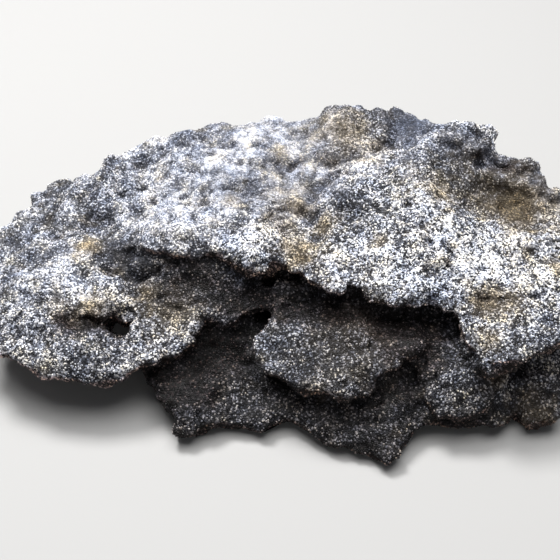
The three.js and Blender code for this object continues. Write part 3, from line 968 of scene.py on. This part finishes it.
sandColours = {
    "stops": [
        (0.0, (0.014, 0.014, 0.016)),
        (0.16, (0.056, 0.058, 0.067)),
        (0.36, (0.18, 0.185, 0.21)),
        (0.58, (0.42, 0.43, 0.47)),
        (0.78, (0.71, 0.70, 0.71)),
        (1.0, (0.91, 0.89, 0.85)),
    ],
    "ochre": (0.62, 0.49, 0.30),
    "ochreFilm": (0.36, 0.28, 0.17),
    "ochreFilmShare": 0.25,
    # colours multiplied in by the masks: painted shade under cover, dark sand and painted shade,
    # painted shade on undersides with a painted red-brown bounce, darker sand and painted shade
    # on low shelves, and warm near-black painted shade in deep crevices
    "sheltered": (0.6, 0.54, 0.5),
    "dark": (0.55, 0.56, 0.60),
    "under": (0.78, 0.58, 0.50),
    "lower": (0.315, 0.29, 0.28),
    "deep": (0.38, 0.25, 0.21),
    # how far dark sand and painted shade push the grains towards black
    "darkPull": 2.4,
    "lowerPull": 2.8,
    "underPull": 0.5,
    "palePush": 0.45,
    "filmEvens": 0.75,
    "filmTone": 0.575,
    "filmBend": -0.35,
    # a grain's own hue, from the bluest to the creamiest, and how far it leans from the warmth
    "farDigits": 43.7,
    "hueLean": 0.36,
    "hues": [
        (0.0, (0.78, 0.86, 1.0)),
        (0.4, (0.93, 0.955, 1.0)),
        (0.6, (1.0, 0.99, 0.97)),
        (1.0, (1.0, 0.92, 0.74)),
    ],
}


def makeSandTint():
    # turns one random number for each grain into its colour, from the stains around it
    group = bpy.data.node_groups.new("sandTint", "ShaderNodeTree")
    group.interface.new_socket("Tone", in_out="INPUT", socket_type="NodeSocketFloat")
    group.interface.new_socket("Colour", in_out="OUTPUT", socket_type="NodeSocketColor")
    start, end = addNode(group, "NodeGroupInput"), addNode(group, "NodeGroupOutput")
    look = sandColours
    own = start.outputs["Tone"]
    masks = {}
    for name in maskNames:
        masks[name] = addNode(group, "ShaderNodeAttribute", attribute_name=name).outputs["Fac"]
    # places darkened by dark sand or painted shade keep a few bright grains, and pale or
    # painted-light places a few dark ones
    bend = 1
    for name in ("dark", "lower", "under"):
        pull = maths(group, "MULTIPLY", masks[name], look[name + "Pull"])
        bend = maths(group, "ADD", pull, bend)
    tone = maths(group, "POWER", own, bend)
    # a film of fine ash evens the grains out
    even = maths(group, "POWER", bend, look["filmBend"])
    even = maths(group, "MULTIPLY", even, look["filmTone"])
    evened = maths(group, "MULTIPLY", masks["film"], look["filmEvens"])
    apart = maths(group, "SUBTRACT", 1, evened)
    tone = maths(group, "MULTIPLY", maths(group, "SUBTRACT", tone, even), apart)
    tone = maths(group, "ADD", tone, even)
    push = maths(group, "ADD", maths(group, "MULTIPLY", masks["pale"], look["palePush"]), 1)
    colour = colourRamp(group, maths(group, "MULTIPLY", tone, push), look["stops"])
    # a second random number for the grain, from the far digits of the first
    second = maths(group, "FRACT", maths(group, "MULTIPLY", own, look["farDigits"]))
    lean = maths(group, "MULTIPLY", maths(group, "SUBTRACT", second, 0.5), look["hueLean"])
    hue = colourRamp(group, maths(group, "ADD", masks["warmth"], lean), look["hues"])
    colour = mixColours(group, 1, colour, hue, "MULTIPLY")
    stained = mixColours(group, 1, colour, look["ochre"], "MULTIPLY")
    stained = mixColours(group, look["ochreFilmShare"], stained, look["ochreFilm"])
    colour = mixColours(group, masks["ochre"], colour, stained)
    # the painted shade and the dark sand, one mask after another
    for name in ("sheltered", "dark", "lower", "under", "deep"):
        darker = mixColours(group, 1, colour, look[name], "MULTIPLY")
        colour = mixColours(group, masks[name], colour, darker)
    join(group, colour, end.inputs["Colour"])
    return group


sandTint = makeSandTint()


def newMaterial(name):
    material = bpy.data.materials.new(name)
    material.use_nodes = True
    shader = material.node_tree.nodes["Principled BSDF"]
    return material, material.node_tree, shader


crustFinish = {
    "grainSize": 0.25,
    "toneShare": 0.9,
    "bumpDepth": 0.09,
    "bumpStrength": 0.8,
    "roughness": (0.45, 0.85),
    "specular": 0.12,
}


def makeCrustMaterial():
    look = crustFinish
    material, tree, shader = newMaterial("fusedSand")
    place = addNode(tree, "ShaderNodeTexCoord").outputs["Object"]
    cells = addNode(tree, "ShaderNodeTexVoronoi")
    cells.inputs["Scale"].default_value = 1 / (look["grainSize"] * mm)
    join(tree, place, cells.inputs["Vector"])
    random = addNode(tree, "ShaderNodeSeparateColor")
    join(tree, cells.outputs["Color"], random.inputs[0])
    tint = addNode(tree, "ShaderNodeGroup", node_tree=sandTint)
    join(tree, maths(tree, "MULTIPLY", random.outputs[0], look["toneShare"]), tint.inputs["Tone"])
    join(tree, tint.outputs["Colour"], shader.inputs["Base Color"])
    rough = addNode(tree, "ShaderNodeMapRange")
    rough.inputs["To Min"].default_value, rough.inputs["To Max"].default_value = look["roughness"]
    join(tree, random.outputs[1], rough.inputs["Value"])
    join(tree, rough.outputs[0], shader.inputs["Roughness"])
    shader.inputs["Specular IOR Level"].default_value = look["specular"]
    bump = addNode(tree, "ShaderNodeBump", invert=True)
    bump.inputs["Strength"].default_value = look["bumpStrength"]
    bump.inputs["Distance"].default_value = look["bumpDepth"] * mm
    join(tree, cells.outputs["Distance"], bump.inputs["Height"])
    join(tree, bump.outputs[0], shader.inputs["Normal"])
    return material


crust.data.materials.clear()
crust.data.materials.append(makeCrustMaterial())

# ---- the loose-looking grains that sit half sunk in the crust ----
grainLook = {
    "spacing": 0.2165,
    "crowding": 2.2,
    "size": (0.11, 0.18),
    "squash": (1.15, 0.9, 1.0),
    "lean": 0.6,
    "fullTurn": 6.28,
    "floorClearance": 0.26,
    "hiddenShare": 0.45,
    # one face's corners in a grain's own square of the map
    "mapCorners": ((0.2, 0.2), (0.8, 0.2), (0.5, 0.8)),
    "seeds": {"places": 5, "tone": 3, "spin": 8, "size": 12},
}
# each kind keeps the scattered points whose random number lies in its band
grainKinds = {
    "darkGlassGrains": {"band": (0.0, 0.25), "roughness": 0.25, "specular": 0.35},
    "blueGreyGrains": {"band": (0.25, 0.5), "roughness": 0.4, "specular": 0.22},
    "ashGrains": {"band": (0.5, 0.75), "roughness": 0.6, "specular": 0.15},
    "quartzGrains": {"band": (0.75, 1.0), "roughness": 0.35, "specular": 0.35},
}


def makeGrainShape():
    mesh = bpy.data.meshes.new("oneGrain")
    bm = bmesh.new()
    bmesh.ops.create_uvsphere(bm, u_segments=4, v_segments=2, radius=mm)
    bmesh.ops.scale(bm, vec=grainLook["squash"], verts=bm.verts)
    cell = bm.loops.layers.uv.new("OFBake")
    for face in bm.faces:
        face.smooth = True
        for loop, spot in zip(face.loops, grainLook["mapCorners"]):
            loop[cell].uv = spot
    bm.to_mesh(mesh)
    bm.free()
    return makeObject("oneGrain", mesh)


def makeScatter(grain):
    look, seeds = grainLook, grainLook["seeds"]
    tree = bpy.data.node_groups.new("scatterGrains", "GeometryNodeTree")
    new = tree.interface.new_socket
    new("Geometry", in_out="INPUT", socket_type="NodeSocketGeometry")
    new("From", in_out="INPUT", socket_type="NodeSocketFloat")
    new("To", in_out="INPUT", socket_type="NodeSocketFloat")
    new("Geometry", in_out="OUTPUT", socket_type="NodeSocketGeometry")
    start, end = addNode(tree, "NodeGroupInput"), addNode(tree, "NodeGroupOutput")

    def named(attribute, kind="FLOAT"):
        node = addNode(tree, "GeometryNodeInputNamedAttribute", data_type=kind)
        node.inputs["Name"].default_value = attribute
        return node.outputs["Attribute"]

    def random(low, high, seed, kind="FLOAT"):
        node = addNode(tree, "FunctionNodeRandomValue", data_type=kind)
        slots = [s for s in node.inputs if s.enabled]
        slots[0].default_value = low
        slots[1].default_value = high
        node.inputs["Seed"].default_value = seed
        return [s for s in node.outputs if s.enabled][0]

    def store(geometry, name, value, kind, domain):
        node = addNode(tree, "GeometryNodeStoreNamedAttribute", data_type=kind, domain=domain)
        node.inputs["Name"].default_value = name
        join(tree, geometry, node.inputs["Geometry"])
        join(tree, value, [s for s in node.inputs if s.name == "Value" and s.enabled][0])
        return node.outputs[0]

    # points on the crust, each with its random number and the way it faces
    spacing = look["spacing"] * mm
    points = addNode(tree, "GeometryNodeDistributePointsOnFaces", distribute_method="POISSON")
    points.inputs["Distance Min"].default_value = spacing
    points.inputs["Density Max"].default_value = look["crowding"] / spacing**2
    points.inputs["Seed"].default_value = seeds["places"]
    join(tree, start.outputs[0], points.inputs["Mesh"])
    hidden = maths(tree, "MULTIPLY", named("sheltered"), look["hiddenShare"])
    join(tree, maths(tree, "SUBTRACT", 1.0, hidden), points.inputs["Density Factor"])
    tone = random(0.0, 1.0, seeds["tone"])
    kept = store(points.outputs["Points"], "grainTone", tone, "FLOAT", "POINT")
    kept = store(kept, "tilt", points.outputs["Normal"], "FLOAT_VECTOR", "POINT")

    # those outside the band or too near the floor go
    drop = addNode(tree, "GeometryNodeDeleteGeometry", domain="POINT")
    join(tree, kept, drop.inputs["Geometry"])
    below = maths(tree, "LESS_THAN", named("grainTone"), start.outputs["From"])
    above = maths(tree, "GREATER_THAN", named("grainTone"), start.outputs["To"])
    height = addNode(tree, "ShaderNodeSeparateXYZ")
    join(tree, addNode(tree, "GeometryNodeInputPosition").outputs[0], height.inputs[0])
    low = maths(tree, "LESS_THAN", height.outputs["Z"], look["floorClearance"] * mm)
    outside = maths(tree, "ADD", maths(tree, "ADD", below, above), low)
    join(tree, outside, drop.inputs["Selection"])

    # a grain on each, spun about the way it faces
    turned = addNode(tree, "FunctionNodeAlignRotationToVector", axis="Z")
    join(tree, named("tilt", "FLOAT_VECTOR"), turned.inputs["Vector"])
    spun = addNode(tree, "FunctionNodeRotateRotation", rotation_space="LOCAL")
    join(tree, turned.outputs[0], spun.inputs["Rotation"])
    spin = addNode(tree, "FunctionNodeEulerToRotation")
    lean = look["lean"]
    spins = (-lean, -lean, 0.0), (lean, lean, look["fullTurn"])
    join(tree, random(*spins, seeds["spin"], "FLOAT_VECTOR"), spin.inputs[0])
    join(tree, spin.outputs[0], spun.inputs["Rotate By"])
    shape = addNode(tree, "GeometryNodeObjectInfo")
    shape.inputs["Object"].default_value = grain
    put = addNode(tree, "GeometryNodeInstanceOnPoints")
    join(tree, drop.outputs[0], put.inputs["Points"])
    join(tree, shape.outputs["Geometry"], put.inputs["Instance"])
    join(tree, spun.outputs[0], put.inputs["Rotation"])
    join(tree, random(*look["size"], seeds["size"]), put.inputs["Scale"])

    # each grain gets a square of its own on the map
    index = addNode(tree, "GeometryNodeInputIndex").outputs[0]
    numbered = store(put.outputs[0], "cell", index, "INT", "INSTANCE")
    size = addNode(tree, "GeometryNodeAttributeDomainSize", component="INSTANCES")
    join(tree, numbered, size.inputs["Geometry"])
    across = maths(tree, "CEIL", maths(tree, "SQRT", size.outputs["Instance Count"]))
    real = addNode(tree, "GeometryNodeRealizeInstances")
    join(tree, numbered, real.inputs["Geometry"])
    column = maths(tree, "MODULO", named("cell", "INT"), across)
    row = maths(tree, "FLOOR", maths(tree, "DIVIDE", named("cell", "INT"), across))
    local = addNode(tree, "ShaderNodeSeparateXYZ")
    join(tree, named("OFBake", "FLOAT_VECTOR"), local.inputs[0])
    spot = addNode(tree, "ShaderNodeCombineXYZ")
    for axis, step in enumerate((column, row)):
        along = maths(tree, "ADD", step, local.outputs[axis])
        join(tree, maths(tree, "DIVIDE", along, across), spot.inputs[axis])
    mapped = store(real.outputs[0], "OFBake", spot.outputs[0], "FLOAT2", "CORNER")
    join(tree, mapped, end.inputs[0])
    return tree


def makeGrainMaterial(name, kind):
    material, tree, shader = newMaterial(name)
    tone = addNode(tree, "ShaderNodeAttribute", attribute_name="grainTone").outputs["Fac"]
    tint = addNode(tree, "ShaderNodeGroup", node_tree=sandTint)
    join(tree, tone, tint.inputs["Tone"])
    join(tree, tint.outputs["Colour"], shader.inputs["Base Color"])
    shader.inputs["Roughness"].default_value = kind["roughness"]
    shader.inputs["Specular IOR Level"].default_value = kind["specular"]
    return material


oneGrain = makeGrainShape()
scatter = makeScatter(oneGrain)
sockets = {s.name: s.identifier for s in scatter.interface.items_tree if s.in_out == "INPUT"}
grainPieces = []
for name, kind in grainKinds.items():
    piece = makeObject(name, crust.data.copy())
    # the grains bring their own map
    piece.data.uv_layers.remove(piece.data.uv_layers["OFBake"])
    scattering = piece.modifiers.new("scatter", "NODES")
    scattering.node_group = scatter
    scattering[sockets["From"]], scattering[sockets["To"]] = kind["band"]
    applyModifiers(piece)
    piece.data.materials.clear()
    piece.data.materials.append(makeGrainMaterial(name, kind))
    grainPieces.append(piece)
    print(name, len(piece.data.polygons), "faces")
bpy.data.objects.remove(oneGrain)

for piece in [crust, *grainPieces]:
    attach(piece, "root")
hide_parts("fulgurite")

# ---- floor, light and camera ----
# metres, watts and degrees
studio = {
    "floorHalf": 4,
    "floorRoughness": 0.85,
    "floorTint": (0.27, 0.267, 0.262),
    "farTint": (0.8, 0.79, 0.78),
    "farFrom": 0.16,
    "farTo": 0.7,
    # name, place, size, power
    "lamps": [
        ("keyLamp", (-0.11, 0.14, 0.32), 0.12, 2.0),
        ("topLamp", (0.0, 0.03, 0.36), 0.4, 2.6),
        ("fillLamp", (0.1, -0.36, 0.1), 0.18, 0.2),
    ],
    "skyTint": (0.85, 0.88, 0.95),
    "skyStrength": 0.17,
    "aim": (-0.00055, -0.002378, 0.0113),
    "distance": 0.205,
    "elevation": 42,
    "lens": 100,
    "sensor": 36,
    "clipStart": 0.01,
}


def makeFloor():
    mesh = bpy.data.meshes.new("floor")
    bm = bmesh.new()
    bmesh.ops.create_grid(bm, x_segments=1, y_segments=1, size=studio["floorHalf"])
    bm.to_mesh(mesh)
    bm.free()
    floor = makeObject("floor", mesh)
    material, tree, shader = newMaterial("palePaper")
    # lighter further out, where the lamps hardly reach
    place = addNode(tree, "ShaderNodeTexCoord").outputs["Object"]
    away = addNode(tree, "ShaderNodeVectorMath", operation="LENGTH")
    join(tree, place, away.inputs[0])
    far = addNode(tree, "ShaderNodeMapRange")
    far.inputs["From Min"].default_value = studio["farFrom"]
    far.inputs["From Max"].default_value = studio["farTo"]
    join(tree, away.outputs["Value"], far.inputs["Value"])
    tint = mixColours(tree, far.outputs[0], studio["floorTint"], studio["farTint"])
    join(tree, tint, shader.inputs["Base Color"])
    shader.inputs["Roughness"].default_value = studio["floorRoughness"]
    mesh.materials.append(material)


def makeLamp(name, place, size, power):
    lamp = bpy.data.lights.new(name, "AREA")
    lamp.shape = "DISK"
    lamp.size = size
    lamp.energy = power
    holder = makeObject(name, lamp)
    holder.location = place
    towards = Vector(studio["aim"]) - Vector(place)
    holder.rotation_euler = towards.to_track_quat("-Z", "Y").to_euler()


makeFloor()
for lamp in studio["lamps"]:
    makeLamp(*lamp)
sky = bpy.data.worlds.new("studioSky")
sky.use_nodes = True
background = sky.node_tree.nodes["Background"]
background.inputs["Color"].default_value = (*studio["skyTint"], 1)
background.inputs["Strength"].default_value = studio["skyStrength"]
bpy.context.scene.world = sky

lensData = bpy.data.cameras.new("camera")
lensData.lens = studio["lens"]
lensData.sensor_width = studio["sensor"]
lensData.clip_start = studio["clipStart"]
camera = makeObject("camera", lensData)
lift = math.radians(studio["elevation"])
back = Vector((0, -math.cos(lift), math.sin(lift)))
camera.location = Vector(studio["aim"]) + back * studio["distance"]
camera.rotation_euler = (math.pi / 2 - lift, 0, 0)
bpy.context.scene.camera = camera

bpy.context.scene.view_settings.view_transform = "Standard"

print("scene ready")
